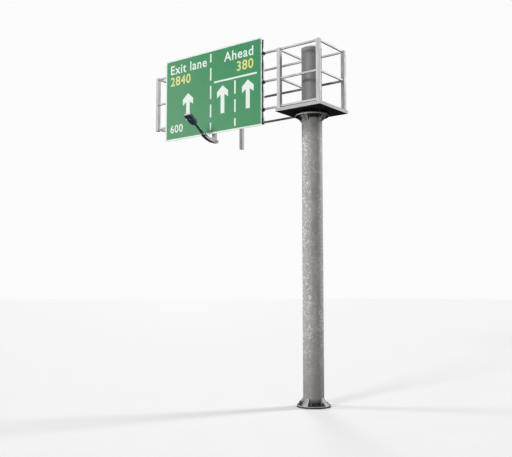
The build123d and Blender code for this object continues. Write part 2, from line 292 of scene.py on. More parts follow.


# Weathering of zinc and painted light and shade on it, each as a share from 0 to 1
def zinc_flecks(tree):
    """Pale flecks in wandering chains, fewer near the ground, at the top and on the washed side."""
    dots = cells(tree, 30.0, "Distance", stretch=(1.0, 1.0, 0.72))
    dots = plus(tree, dots, between(tree, noise(tree, 48.0, 3.0), 0.25, 0.75, -0.2, 0.2))
    dots = between(tree, dots, 0.52, 0.27)
    wander = noise(tree, 4.6, 2.0, 0.5, stretch=(1.0, 1.0, 0.7), distortion=1.6)
    off_chain = math_node(tree, "ABSOLUTE", math_node(tree, "SUBTRACT", wander, 0.5))
    chain = between(tree, off_chain, 0.062, 0.018)
    patch = between(tree, noise(tree, 2.1, 3.0, stretch=(1.0, 1.0, 0.6)), 0.24, 0.46)
    sparse = between(tree, noise(tree, 6.0), 0.61, 0.69)
    where = larger(tree, times(tree, chain, patch), sparse)
    toward_wash = plus(tree, times(tree, position(tree, ALONG), WASHED_SIDE[0]),
                       times(tree, position(tree, ACROSS), WASHED_SIDE[1]))
    where = times(tree, where, between(tree, toward_wash, *WASHED_BAND, 0.40, 1.0))
    where = times(tree, where, between(tree, position(tree, UP), *FLECK_FOOT_BAND, 0.15, 1.0))
    where = times(tree, where, between(tree, position(tree, UP), *FLECK_HEAD_BAND, 0.25, 1.0))
    return times(tree, dots, where)


def low_dirt_and_foot_shade(tree, runs, amount):
    """Dirt thrown up from the ground, in runs, and painted shade darkening the foot."""
    height = position(tree, UP)
    low = times(tree, between(tree, height, *LOW_DIRT_BAND), between(tree, runs, 0.2, 0.8, 0.45, 1.0))
    # Painted shade: the lowest part, between the stiffeners, is darkened almost to black
    foot_shade = between(tree, height, *FOOT_SHADE_BAND, 0.0, 0.93)
    return larger(tree, times(tree, low, amount), foot_shade)


def under_flange_painted_shade(tree, level):
    """Painted shade under a flange whose underside is at level: a long fading band and a near black strip
    close under it.
    """
    height = position(tree, UP)
    fading_shade = between(tree, height, level - SHADE_FADE_BELOW[0], level - SHADE_FADE_BELOW[1], 0.0, 0.45)
    deep_shade = between(tree, height, level - DEEP_SHADE_BELOW[0], level - DEEP_SHADE_BELOW[1], 0.0, 0.95)
    return larger(tree, fading_shade, deep_shade)


def hollow_painted_shade(tree, amount):
    """Painted shade where surfaces shut a place in."""
    shade_in_hollows = between(tree, hollows(tree, SHADE_REACH), 0.20, 0.70, 0.0, amount)
    return times(tree, shade_in_hollows, between(tree, noise(tree, 18.0), 0.3, 0.7, 0.8, 1.0))


def underside_painted_shade(tree, amount, start):
    """Painted shade on what faces down, from the slope given as start."""
    down = between(tree, facing(tree, UP), start, start - 0.5)
    return times(tree, down, between(tree, noise(tree, 3.0, 5.0), 0.2, 0.75, amount, amount * 0.94))


def silt_and_low_shade(tree, amount):
    """Silt with painted shade on what faces up near the ground, and painted shade on low sides."""
    height, slope = position(tree, UP), facing(tree, UP)
    on_low_tops = times(tree, between(tree, slope, 0.85, 0.97), between(tree, height, *SILT_AND_SHADE_TOP_BAND))
    on_low_sides = times(tree, between(tree, slope, 0.35, 0.15), between(tree, height, *SILT_AND_SHADE_SIDE_BAND))
    spread = between(tree, noise(tree, 9.0, 5.0), 0.25, 0.75, amount * 0.8, amount)
    return times(tree, larger(tree, on_low_tops, on_low_sides), spread)


def recess_painted_shade(tree, middle, half_width):
    """Painted shade on the sunk cheeks of a piece that is half_width to each side of its middle there."""
    off = math_node(tree, "SUBTRACT", position(tree, ALONG), middle)
    sunk = between(tree, math_node(tree, "ABSOLUTE", off), half_width, half_width - RECESS_FADE)
    sideways = between(tree, math_node(tree, "ABSOLUTE", facing(tree, ALONG)), 0.7, 0.95, 0.0, 0.45)
    return times(tree, sunk, sideways)


# Materials
def galvanised(name, dark, light, flecks=0.0, underside_shade=0.0, underside_shade_from=-0.45, painted_light_toward_x=0.0, low_dirt_and_shade=0.0,
               painted_shade_below=None, silt_and_shade=0.0, hollow_shade=0.0, edge_wear_and_highlight=0.0, edge_wear_and_highlight_width=0.007, shaded_recess=None, metallic=0.15,
               shine=0.5):
    """Hot-dip zinc: clouded grey with crystal spangle and runs, weathered and given painted light and shade
    by the amounts given.
    """
    made, tree, shader = new_material(name, Specular_IOR_Level=shine)
    cloud = noise(tree, 2.6, 6.0, distortion=0.6)
    spangle = add(tree, "RGBToBW", {0: cells(tree, 34.0, "Color")}).outputs[0]
    fine = noise(tree, 90.0, 4.0, 0.65)
    runs = noise(tree, 9.0, stretch=(1.0, 1.0, 0.10))
    tone = plus(tree, between(tree, cloud, 0.28, 0.72, 0.0, 0.55), times(tree, spangle, 0.30))
    tone = plus(tree, tone, between(tree, runs, 0.35, 0.75, -0.10, 0.22))
    tone = plus(tree, tone, between(tree, fine, 0.3, 0.7, -0.05, 0.05), clamp=True)
    colour = mixed(tree, tone, dark, light)
    rough = between(tree, plus(tree, cloud, times(tree, spangle, 0.4)), 0.3, 1.0, 0.42, 0.64)
    # Painted light: faces turned toward +X are made paler, as if lit from that side
    if painted_light_toward_x:
        lit_toward_x = between(tree, facing(tree, ALONG), 0.35, 0.9, 0.0, painted_light_toward_x)
        colour = mixed(tree, lit_toward_x, colour, PAINTED_LIGHT_PALE)
    if flecks:
        mark = times(tree, zinc_flecks(tree), flecks)
        colour = mixed(tree, mark, colour, FLECK)
        rough = plus(tree, rough, times(tree, mark, 0.15), clamp=True)
    if low_dirt_and_shade:
        colour = mixed(tree, low_dirt_and_foot_shade(tree, runs, low_dirt_and_shade), colour, LOW_DIRT_AND_SHADE)
    # Painted shade on the column under the top flange
    if painted_shade_below:
        colour = mixed(tree, under_flange_painted_shade(tree, painted_shade_below), colour, UNDER_FLANGE_SHADE)
    # Bright edges: partly bare zinc worn through, partly a painted highlight where edges catch the light
    if edge_wear_and_highlight:
        brightened = times(tree, edges(tree, edge_wear_and_highlight_width), between(tree, fine, 0.3, 0.6, edge_wear_and_highlight * 0.6, edge_wear_and_highlight))
        colour = mixed(tree, brightened, colour, BARE_EDGE_AND_HIGHLIGHT)
    # Painted shade in hollows, on undersides and in recesses, and silt with painted shade near the ground,
    # all darkened toward one colour
    shade_and_silt_masks = []
    # Painted shade in corners and hollows
    if hollow_shade:
        shade_and_silt_masks.append(hollow_painted_shade(tree, hollow_shade))
    # Painted shade on undersides
    if underside_shade:
        shade_and_silt_masks.append(underside_painted_shade(tree, underside_shade, underside_shade_from))
    # Silt and painted shade near the ground
    if silt_and_shade:
        shade_and_silt_masks.append(silt_and_low_shade(tree, silt_and_shade))
    # Painted shade in the sunk recess
    if shaded_recess:
        shade_and_silt_masks.append(recess_painted_shade(tree, *shaded_recess))
    if shade_and_silt_masks:
        shade_and_silt = shade_and_silt_masks[0]
        for one_mask in shade_and_silt_masks[1:]:
            shade_and_silt = larger(tree, one_mask, shade_and_silt)
        colour = mixed(tree, shade_and_silt, colour, SHADE_AND_SILT_DARK)
        rough = larger(tree, rough, shade_and_silt)
        unmarked_share = math_node(tree, "SUBTRACT", 1.0, shade_and_silt, clamp=True)
        wire(tree, shader, Metallic=times(tree, unmarked_share, metallic))
    else:
        shader.inputs["Metallic"].default_value = metallic
    height = plus(tree, times(tree, spangle, 0.5), times(tree, fine, 0.5))
    wire(tree, shader, Base_Color=colour, Roughness=rough, Normal=bumped(tree, height, 0.25, ZINC_RELIEF))
    return made


def sign_sheeting(name, top_right_colour, lower_left_colour, roughness=0.58):
    """Prismatic reflective sheeting with fine cells, paler towards the lower left."""
    made, tree, shader = new_material(name, Specular_IOR_Level=0.15)
    # Paler towards the lower left of the sign
    slope = plus(tree, times(tree, position(tree, ALONG), SIGN_PALER_SLANT), position(tree, UP))
    paler_share = between(tree, slope, *SIGN_PALER_BAND)
    clouds = between(tree, noise(tree, 1.4, 5.0, distortion=0.5), 0.3, 0.7, -0.16, 0.16)
    colour = mixed(tree, plus(tree, paler_share, clouds, clamp=True), top_right_colour, lower_left_colour)
    runs = between(tree, noise(tree, 13.0, stretch=(1.0, 1.0, 0.05)), 0.52, 0.80, 0.0, 0.06)
    colour = mixed(tree, runs, colour, SHEETING_RUN)
    prisms = cells(tree, 260.0, "Distance", randomness=0.0)
    colour = mixed(tree, between(tree, prisms, 0.1, 0.7, 0.0, 0.06), colour, CELL_LINE)
    rough = between(tree, clouds, -0.16, 0.16, roughness - 0.05, roughness + 0.08)
    wire(tree, shader, Base_Color=colour, Roughness=rough, Normal=bumped(tree, prisms, 0.12, FINE_RELIEF))
    return made


def panel_material(front):
    """The sign's panel: the sheeting on its face, bare aluminium elsewhere."""
    tree = front.node_tree
    shader = tree.nodes["Principled BSDF"]
    face = between(tree, facing(tree, ACROSS), -0.6, -0.8)
    brushed = between(tree, noise(tree, 60.0, 3.0, stretch=(0.03, 1.0, 1.0)), 0.3, 0.7)
    metal = mixed(tree, brushed, PANEL_DARK, PANEL_LIGHT)
    sheeting = shader.inputs["Base Color"].links[0].from_socket
    wire(tree, shader, Base_Color=mixed(tree, face, metal, sheeting))
    return front


def brushed_aluminium(name, dark, light, hollow_shade=0.0):
    """Mill-finish extrusion with fine lines along its height, with painted shade where it is shut in."""
    made, tree, shader = new_material(name, Metallic=0.35)
    lines = noise(tree, 120.0, 3.0, stretch=(1.0, 1.0, 0.02))
    cloud = noise(tree, 4.0, rough=0.55)
    share = plus(tree, between(tree, lines, 0.3, 0.7, 0.0, 0.45), between(tree, cloud, 0.3, 0.7, 0.0, 0.55))
    colour = mixed(tree, share, dark, light)
    if hollow_shade:
        # Painted shade deep in the channel's hollow
        shade_in_hollows = between(tree, hollows(tree, CHANNEL_SHADE_REACH), 0.35, 0.75, 0.0, hollow_shade)
        colour = mixed(tree, shade_in_hollows, colour, CHANNEL_SHADE)
    rough = between(tree, cloud, 0.3, 0.7, 0.34, 0.52)
    wire(tree, shader, Base_Color=colour, Roughness=rough, Normal=bumped(tree, lines, 0.10, FINE_RELIEF))
    return made


def powder_coat(name, dark, light, roughness, top_painted_light=None):
    """Sprayed powder coat: slight orange peel, dulled by dust in clouds, with painted light where it faces
    the sky.
    """
    made, tree, shader = new_material(name, Specular_IOR_Level=0.35)
    peel = noise(tree, 420.0, 2.0, 0.5)
    dust = noise(tree, 14.0, 5.0, 0.62)
    colour = mixed(tree, between(tree, dust, 0.35, 0.75), dark, light)
    if top_painted_light:
        # Painted light: what faces up is made paler, as if lit from above
        skyward = between(tree, facing(tree, UP), 0.10, 0.50, 0.0, 0.95)
        brightened = times(tree, skyward, between(tree, dust, 0.2, 0.6, 0.85, 1.0))
        colour = mixed(tree, brightened, colour, top_painted_light)
    rough = between(tree, dust, 0.3, 0.7, roughness - 0.08, roughness + 0.12)
    wire(tree, shader, Base_Color=colour, Roughness=rough, Normal=bumped(tree, peel, 0.20, FINE_RELIEF))
    return made


def lamp_glass(name):
    """Toughened lamp glass with a film of dust."""
    made, tree, shader = new_material(name, IOR=1.5, Transmission_Weight=0.9)
    dust = noise(tree, 22.0, 5.0)
    colour = mixed(tree, between(tree, dust, 0.3, 0.8), GLASS_CLEAN, GLASS_DUSTY)
    wire(tree, shader, Base_Color=colour, Roughness=between(tree, dust, 0.3, 0.8, 0.04, 0.22))
    return made


# Finishes
COLUMN = galvanised("column_zinc", rgb(146, 145, 143), rgb(178, 177, 174), flecks=1.0, low_dirt_and_shade=0.35,
                    painted_shade_below=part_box("top_flange")[0].z, hollow_shade=0.9, metallic=0.08, shine=0.3)
# Painted shade: the column's head inside the cage is a darker copy of the column's zinc
HEAD_SHADED = galvanised("head_zinc_painted_shade", rgb(122, 121, 119), rgb(150, 149, 146), flecks=0.25, hollow_shade=0.6, metallic=0.08,
                  shine=0.3)
PLATE = galvanised("plate_zinc", rgb(144, 143, 141), rgb(182, 181, 179), underside_shade=0.97, underside_shade_from=-0.3,
                   hollow_shade=0.95, silt_and_shade=0.97, edge_wear_and_highlight=0.95, edge_wear_and_highlight_width=0.008, shine=0.2)
# Painted shade: the stiffeners under the platform are a darker copy of the plate zinc
HIGH_PLATE_SHADED = galvanised("high_plate_zinc_painted_shade", rgb(100, 99, 97), rgb(130, 129, 127), hollow_shade=0.9, edge_wear_and_highlight=1.0,
                        edge_wear_and_highlight_width=0.020, shine=0.1)
FLANGE = galvanised("flange_zinc", rgb(132, 131, 129), rgb(168, 167, 165), underside_shade=0.99, underside_shade_from=-0.3,
                    hollow_shade=0.4, edge_wear_and_highlight=0.9, edge_wear_and_highlight_width=0.010, shine=0.0)
FOOT = galvanised("foot_zinc", rgb(152, 151, 149), rgb(190, 189, 187), hollow_shade=0.95, silt_and_shade=0.9, edge_wear_and_highlight=1.0,
                  edge_wear_and_highlight_width=0.018, shine=0.3)
RAIL = galvanised("rail_zinc", rgb(184, 184, 185), rgb(216, 216, 217), painted_light_toward_x=0.75, underside_shade=0.5, edge_wear_and_highlight=0.3,
                  metallic=0.05, shine=0.2)
# Painted shade: the rear middle and bottom chords are a darker, duller copy of the tube zinc
TUBE_SHADED = galvanised("tube_zinc_painted_shade", rgb(124, 124, 127), rgb(154, 154, 157), underside_shade=0.7, edge_wear_and_highlight=0.3,
                      metallic=0.05, shine=0.1)
TUBE = galvanised("tube_zinc", rgb(180, 180, 181), rgb(214, 214, 215), painted_light_toward_x=0.1, underside_shade=0.5, edge_wear_and_highlight=0.3,
                  metallic=0.05, shine=0.2)
BRACKET_MIDDLE = sum(corner.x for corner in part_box("lamp_bracket")) / 2
BRACKET_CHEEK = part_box("lamp_bracket")[1].x - BRACKET_MIDDLE - BRACKET_LIP / 2
BRACKET = galvanised("bracket_zinc", rgb(190, 190, 191), rgb(222, 222, 223), painted_light_toward_x=0.6, underside_shade=0.97,
                     underside_shade_from=-0.3, hollow_shade=0.4, edge_wear_and_highlight=1.0, edge_wear_and_highlight_width=0.012,
                     shaded_recess=(BRACKET_MIDDLE, BRACKET_CHEEK))
PLATFORM = galvanised("platform_zinc", rgb(172, 171, 169), rgb(202, 201, 199), painted_light_toward_x=0.4, underside_shade=0.99,
                      edge_wear_and_highlight=0.5, metallic=0.05, shine=0.0)
BOLT = galvanised("bolt_zinc", rgb(112, 112, 114), rgb(162, 162, 164), metallic=0.5)
# Painted shade: the anchor and flange bolts, which sit in shade, are a near black copy of the bolt zinc
BOLT_SHADED = galvanised("bolt_zinc_painted_shade", rgb(40, 39, 38), rgb(78, 77, 75), metallic=0.3)
WELD = galvanised("weld_zinc", rgb(160, 160, 160), rgb(204, 204, 204), metallic=0.3)
DULL_WELD = galvanised("dull_weld_zinc", rgb(62, 61, 60), rgb(98, 97, 95), metallic=0.1, shine=0.2)
GREEN = panel_material(sign_sheeting("sign_green", rgb(60, 144, 95), rgb(94, 156, 114)))
WHITE = sign_sheeting("sign_white", rgb(240, 250, 242), rgb(244, 252, 246))
YELLOW = sign_sheeting("sign_yellow", rgb(234, 232, 140), rgb(238, 236, 168))
CHANNEL = brushed_aluminium("channel_aluminium", rgb(184, 184, 191), rgb(214, 214, 221), 0.84)
COVER = brushed_aluminium("cover_aluminium", rgb(70, 72, 84), rgb(96, 98, 108))
MIRROR = brushed_aluminium("reflector_bright", rgb(214, 216, 218), rgb(238, 239, 240))
CLAMP = powder_coat("clamp_black", rgb(7, 7, 8), rgb(18, 18, 20), 0.5)
# Painted light and shade: the lamp body is a darkened blue-grey for its shaded sides and pale where it faces
# up
LAMP_BODY_LIT_AND_SHADED = powder_coat("lamp_paint", rgb(116, 130, 158), rgb(148, 160, 186), 0.38, rgb(212, 200, 204))
# Painted shade: the cover under the lamp is dark navy in place of the body's paint, for the shade beneath it
LAMP_UNDERSIDE_SHADED = powder_coat("lamp_navy_painted_shade", rgb(18, 32, 58), rgb(38, 58, 90), 0.40)
NECK = powder_coat("neck_black", rgb(52, 61, 62), rgb(80, 91, 92), 0.40)
TUBE_WHITE = powder_coat("tube_white", rgb(232, 232, 228), rgb(244, 244, 240), 0.25)
GLASS = lamp_glass("lamp_glass_clear")

finish_of = {
    "column": COLUMN, "column_head": HEAD_SHADED,
    "base_plate": PLATE, "foot_gussets": FOOT, "top_flange": FLANGE, "top_gussets": HIGH_PLATE_SHADED,
    "platform_bottom_plate": PLATFORM, "platform_edge_bars": PLATFORM, "platform_deck": PLATFORM,
    "cage_left_rails": RAIL, "cage_right_rails": RAIL,
    "rear_middle_chord": TUBE_SHADED, "rear_bottom_chord": TUBE_SHADED,
    "sign_panel": GREEN, "sign_clamps": CLAMP,
    "sign_edge_uprights": CHANNEL, "sign_inner_uprights": CHANNEL,
    "lamp_bracket": BRACKET, "lamp_neck": NECK, "lamp_collar": NECK,
    "lamp_housing": LAMP_BODY_LIT_AND_SHADED, "lamp_cover": LAMP_UNDERSIDE_SHADED, "lamp_lens": GLASS,
}
for name, solid in nodes.items():
    solid.data.materials.clear()
    solid.data.materials.append(finish_of.get(name, TUBE))


# Mesh helpers
def piece(name, mesh_maker, material, smooth=False):
    """A new piece of the gantry made by bmesh code, riding on the one body."""
    built = bmesh.new()
    mesh_maker(built)
    bmesh.ops.recalc_face_normals(built, faces=built.faces)
    mesh = bpy.data.meshes.new(name)
    built.to_mesh(mesh)
    built.free()
    for polygon in mesh.polygons:
        polygon.use_smooth = smooth
    mesh.materials.append(material)
    made = bpy.data.objects.new(name, mesh)
    bpy.context.scene.collection.objects.link(made)
    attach(made, "root")
    return made


def skin(built, rings, closed=False, lids=(0, -1)):
    """Quads from each ring of points to the next, back to the first if closed, and lids on some rings."""
    loops = [[built.verts.new(point) for point in ring] for ring in rings]
    pairs = list(zip(loops, loops[1:]))
    if closed:
        pairs.append((loops[-1], loops[0]))
    for one, two in pairs:
        for k in range(len(one)):
            after = (k + 1) % len(one)
            built.faces.new((one[k], one[after], two[after], two[k]))
    for k in lids:
        built.faces.new(loops[k])


def turned(built, matrix, profile, sides):
    """A closed solid turned round Z from (radius, height) rings; six sides give a hexagon."""
    angles = [2 * math.pi * k / sides for k in range(sides)]
    skin(built, [[matrix @ Vector((radius * math.cos(a), radius * math.sin(a), height)) for a in angles]
                 for radius, height in profile])


def bolt(built, matrix, size, shank=0.0):
    """A washer and a hexagon with chamfered corners, and a thread that stands out of it by shank."""
    thin, tall, cut = (size * s for s in (WASHER_HEIGHT_SHARE, HEXAGON_HEIGHT_SHARE, CHAMFER_SHARE))
    hexagon, thread = size * HEXAGON_SHARE, size * THREAD_SHARE
    turned(built, matrix, [(size * radius, thin * height) for radius, height in WASHER_SHARES], WASHER_SIDES)
    seat = matrix @ Matrix.Translation((0, 0, thin))
    rings = [(hexagon * HEXAGON_SEAT_SHARE, 0.0), (hexagon, cut), (hexagon, tall - cut),
             (hexagon * HEXAGON_TOP_SHARE, tall)]
    turned(built, seat, rings, HEXAGON_SIDES)
    if shank:
        count = max(FEWEST_THREADS, int(shank / THREAD_PITCH))
        pitch = shank / (count + 1)
        rings = [(thread, 0.0)]
        for k in range(count):
            rings += [(thread * THREAD_ROOT_SHARE, pitch * (k + 0.5)), (thread, pitch * (k + 1))]
        rings.append((thread * THREAD_END_SHARE, shank))
        turned(built, seat @ Matrix.Translation((0, 0, tall)), rings, THREAD_SIDES)


def rounded(left, bottom, right, top, corner, steps=8):
    """Points round a rectangle with rounded corners."""
    centres = ((right - corner, top - corner, 0), (left + corner, top - corner, 90),
               (left + corner, bottom + corner, 180), (right - corner, bottom + corner, 270))
    points = []
    for across, up, start in centres:
        for k in range(steps + 1):
            angle = math.radians(start + 90.0 * k / steps)
            points.append((across + corner * math.cos(angle), up + corner * math.sin(angle)))
    return points


def weld(built, points, closed, radius=WELD_RADIUS, sides=WELD_SIDES):
    """A rippled bead of weld along a line of points."""
    count = len(points)
    angles = [2 * math.pi * j / sides for j in range(sides)]
    rings = []
    for k in range(count):
        before = points[(k - 1) % count] if closed or k else points[k]
        after = points[(k + 1) % count] if closed or k < count - 1 else points[k]
        run = (after - before).normalized()
        side = run.orthogonal().normalized()
        up = run.cross(side)
        size = radius * (1.0 + sum(swing * math.sin(k * turn) for swing, turn in WELD_RIPPLES))
        spokes = [(side * math.cos(a) + up * math.sin(a)) * size for a in angles]
        rings.append([built.verts.new(points[k] + spoke) for spoke in spokes])
    pairs = list(zip(rings, rings[1:])) + ([(rings[-1], rings[0])] if closed else [])
    for one, two in pairs:
        def twist(shift):
            return sum((one[j].co - two[(j + shift) % sides].co).length for j in range(sides))
        best = min(range(sides), key=twist)
        for j in range(sides):
            next_j = (j + 1) % sides
            built.faces.new((one[j], one[next_j], two[(next_j + best) % sides], two[(j + best) % sides]))
    if not closed:
        built.faces.new(rings[0])
        built.faces.new(list(reversed(rings[-1])))


def along_sides(corners, step):
    """Points along the sides of a closed loop of corners, about step apart."""
    points = []
    for start, end in zip(corners, corners[1:] + corners[:1]):
        count = max(1, int((end - start).length / step))
        points += [start.lerp(end, k / count) for k in range(count)]
    return points


def square_loop(centre, first, second, half):
    """Points round a square in the plane of two directions."""
    first, second = first * half, second * half
    corners = [centre + first * a + second * b for a, b in ((1, 1), (-1, 1), (-1, -1), (1, -1))]
    return along_sides(corners, SQUARE_WELD_STEP)


def arc(radius, height, start, sweep):
    """Points along an arc round the column's axis, angles in degrees."""
    count = max(FEWEST_POINTS, int(radius * math.radians(sweep) / WELD_STEP))
    spaces = count if sweep >= 360 else count - 1
    angles = [math.radians(start + sweep * k / spaces) for k in range(count)]
    return [Vector((radius * math.cos(a), radius * math.sin(a), height)) for a in angles]


def line(start, end):
    """Points along a straight line."""
    count = max(FEWEST_POINTS, int((end - start).length / WELD_STEP))
    return [start.lerp(end, k / (count - 1)) for k in range(count)]


def solids_of(name):
    """The low and high corners of each separate solid in a node of the frame."""
    built = bmesh.new()
    built.from_mesh(nodes[name].data)
    bmesh.ops.remove_doubles(built, verts=built.verts, dist=SAME_PLACE)
    waiting = dict.fromkeys(built.verts)
    boxes = []
    while waiting:
        queue, group = [waiting.popitem()[0]], []
        while queue:
            vertex = queue.pop()
            group.append(tuple(vertex.co))
            for edge in vertex.link_edges:
                other = edge.other_vert(vertex)
                if other in waiting:
                    del waiting[other]
                    queue.append(other)
        boxes.append((Vector(map(min, zip(*group))), Vector(map(max, zip(*group)))))
    built.free()
    return sorted(boxes, key=lambda corners: tuple(corners[0]))


# The sign's face
sign_low, sign_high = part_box("sign_panel")
FACE = sign_low.y
LEFT, BOTTOM = sign_low.x, sign_low.z


def marking(built, points):
    """A thin sheet on the sign's face, its outline measured from the sign's lower left corner."""
    outline = [(LEFT + across, BOTTOM + up) for across, up in points]
    skin(built, [[(x, y, z) for x, z in outline] for y in (FACE - SHEET, FACE)])


def border(built):
    """The white edge strip round the sign."""
    low_x, low_z = sign_low.x + BORDER_INSET, sign_low.z + BORDER_INSET
    high_x, high_z = sign_high.x - BORDER_INSET, sign_high.z - BORDER_INSET
    outside = rounded(low_x, low_z, high_x, high_z, SIGN_CORNER - BORDER_INSET)
    inside = rounded(low_x + BORDER_WIDTH, low_z + BORDER_WIDTH, high_x - BORDER_RIGHT, high_z - BORDER_TOP,
                     BORDER_INNER_CORNER)
    turns = ((outside, FACE), (outside, FACE - SHEET), (inside, FACE - SHEET), (inside, FACE))
    skin(built, [[(x, y, z) for x, z in outline] for outline, y in turns], closed=True, lids=())


def lane_lines(built):
    """Two broken lane lines and the bar between destinations and arrows."""
    half = MARK_WIDTH / 2
    for place, dashes in ((DIVIDER_AT, DIVIDER_DASHES), (LANE_LINE_AT, LANE_LINE_DASHES)):
        for low, high in dashes:
            marking(built, rounded(place - half, low, place + half, high, MARK_CORNER, steps=4))
    half = BAR_WIDTH / 2
    marking(built, rounded(BAR_FROM, BAR_LEVEL - half, BAR_TO, BAR_LEVEL + half, half * BAR_ROUND_SHARE))


def arrows(built):
    """Three lane arrows pointing up."""
    right = [(0.0, ARROW_TIP), (ARROW_HALF_WIDTH, ARROW_SHOULDER), (ARROW_HALF_WIDTH, ARROW_BARB),
             (ARROW_SHAFT_HALF, ARROW_NOTCH), (ARROW_SHAFT_HALF, ARROW_FOOT)]
    left = [(-across, up) for across, up in reversed(right[1:])]
    for place in ARROWS_AT:
        marking(built, [(place + across, up) for across, up in right + left])


def glyphs_of(text, weight=0.0):
    """A word's outline as a mesh in the built-in font, thickened by weight, half in front of Z = 0."""
    curve = bpy.data.curves.new("word", "FONT")
    curve.body = text
    curve.offset = weight
    curve.space_character = LETTER_SPACING
    curve.extrude = 0.5
    curve.resolution_u = LETTER_STEPS
    writer = bpy.data.objects.new("word", curve)
    bpy.context.scene.collection.objects.link(writer)
    bpy.context.view_layer.update()
    mesh = bpy.data.meshes.new_from_object(writer.evaluated_get(bpy.context.evaluated_depsgraph_get()))
    bpy.data.objects.remove(writer)
    bpy.data.curves.remove(curve)
    return mesh


def lettering(name, words, material):
    """Generic wording as a thin sheet, from (text, side it starts from, edge, level, capital height)."""
    capital = glyphs_of("H")
    capital_units = max(vertex.co.y for vertex in capital.vertices)
    bpy.data.meshes.remove(capital)

    def fill(built):
        for text, side, edge, level, height in words:
            mesh = glyphs_of(text, LETTER_WEIGHT)
            size = height / capital_units
            reach = [vertex.co.x * size for vertex in mesh.vertices]
            shift = edge - (min(reach) if side == "left" else max(reach))
            for vertex in mesh.vertices:
                across, up, out = vertex.co
                depth = FACE - SHEET if out > 0 else FACE
                vertex.co = (LEFT + shift + across * size, depth, BOTTOM + level + up * size)
            built.from_mesh(mesh)
            bpy.data.meshes.remove(mesh)
    return piece(name, fill, material)


piece("sign_border", border, WHITE)
piece("sign_lane_lines", lane_lines, WHITE)
piece("sign_arrows", arrows, WHITE)
lettering("sign_white_words", (("Exit lane", "left", WORDS_LEFT, WORD_LEVEL, CAPITAL_HEIGHT),
                               ("Ahead", "right", WORDS_RIGHT, WORD_LEVEL, CAPITAL_HEIGHT),
                               ("600", "left", WORDS_LEFT, DISTANCE_LEVEL, DISTANCE_HEIGHT)), WHITE)
lettering("sign_yellow_numbers", (("2840", "left", WORDS_LEFT, NUMBER_LEVEL, CAPITAL_HEIGHT),
                                  ("380", "right", WORDS_RIGHT, NUMBER_LEVEL, CAPITAL_HEIGHT)), YELLOW)


# Fasteners and trim
def around_column(height, k):
    """A place and turn on the bolt circle round the column, between the stiffeners."""
    radius, angle = ANCHOR_CIRCLE / 2, 2 * math.pi * (k + 0.5) / ANCHOR_COUNT
    place = Vector((radius * math.cos(angle), radius * math.sin(angle), height))
    return Matrix.Translation(place) @ Matrix.Rotation(angle, 4, "Z")


def anchor_bolts(built):
    """Holding-down bolts round the base plate."""
    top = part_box("base_plate")[1].z
    for k in range(ANCHOR_COUNT):
        bolt(built, around_column(top, k), ANCHOR_SIZE, ANCHOR_STANDS)


def flange_bolts(built):
    """Studs that level the platform on the top flange, with a nut at each plate."""
    low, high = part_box("top_flange")
    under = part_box("platform_bottom_plate")[0].z
    thread = STUD_SIZE * THREAD_SHARE
    for k in range(ANCHOR_COUNT):
        bolt(built, around_column(high.z, k), STUD_SIZE)
        bolt(built, around_column(low.z, k) @ TURNED_OVER, STUD_SIZE, STUD_STANDS)
        bolt(built, around_column(under, k) @ TURNED_OVER, STUD_SIZE)
        turned(built, around_column(high.z, k), [(thread, 0.0), (thread, under - high.z)], THREAD_SIDES)


def clamp_bolts(built):
    """One bolt up through the jaw of every clamp, under the chord it holds."""
    for low, high in solids_of("sign_clamps"):
        place = Vector(((low.x + high.x) / 2, high.y - CLAMP_JAW / 2, high.z - CLAMP_JAW_UNDER))
        bolt(built, Matrix.Translation(place) @ TURNED_OVER, CLAMP_BOLT, CLAMP_BOLT)


def bracket_bolts(built):
    """Two bolts through each cheek of the lamp bracket into the hanger."""
    low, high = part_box("hanger_post_front")
    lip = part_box("lamp_bracket")[1].x - BRACKET_LIP
    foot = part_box("lamp_bracket")[0].z
    middle = (low + high) / 2
    for side in (-1, 1):
        turn = Matrix.Rotation(side * math.pi / 2, 4, "Y")
        for offset in (-BRACKET_BOLT_SPREAD, BRACKET_BOLT_SPREAD):
            place = Vector((middle.x + side * (lip - middle.x), middle.y + offset, foot + BRACKET_BOLT_RISE))
            bolt(built, Matrix.Translation(place) @ turn, BRACKET_BOLT)


def clamp_plugs(built):
    """A moulded plug with a sunk middle in both open ends of every clamp's box."""
    gap = CLAMP_WALL + PLUG_FIT
    for low, high in solids_of("sign_clamps"):
        front, back = low.y + gap, high.y - CLAMP_JAW - gap
        bottom, top = low.z + gap, high.z - gap
        for end, inward in ((low.x, 1), (high.x, -1)):
            rings = []
            for depth, inset in PLUG_RINGS:
                outline = rounded(front + inset, bottom + inset, back - inset, top - inset, PLUG_CORNER,
                                  steps=4)
                rings.append([(end + inward * depth, y, z) for y, z in outline])
            skin(built, rings)


def channel_covers(built):
    """Angle strips over the open side of both edge channels, between the clamps, behind a groove."""
    clamps = solids_of("sign_clamps")
    for (low, high), outward in zip(solids_of("sign_edge_uprights"), (-1, 1)):
        mouth, web = (high.x, low.x) if outward > 0 else (low.x, high.x)
        own = sorted((a.z, b.z) for a, b in clamps if a.x < high.x and b.x > low.x)
        starts = [low.z] + [top + COVER_END for bottom, top in own]
        ends = [bottom - COVER_END for bottom, top in own] + [high.z]
        near, far = low.y + COVER_GROOVE, high.y - CHANNEL_WALL - COVER_FIT
        bend = near + COVER_SHEET
        inner = mouth - outward * COVER_SHEET
        back = web + outward * (CHANNEL_WALL + COVER_FIT)
        section = ((mouth, near), (mouth, far), (inner, far), (inner, bend), (back, bend), (back, near))
        for start, end in zip(starts, ends):
            skin(built, [[(x, y, z) for x, y in section] for z in (start, end)])


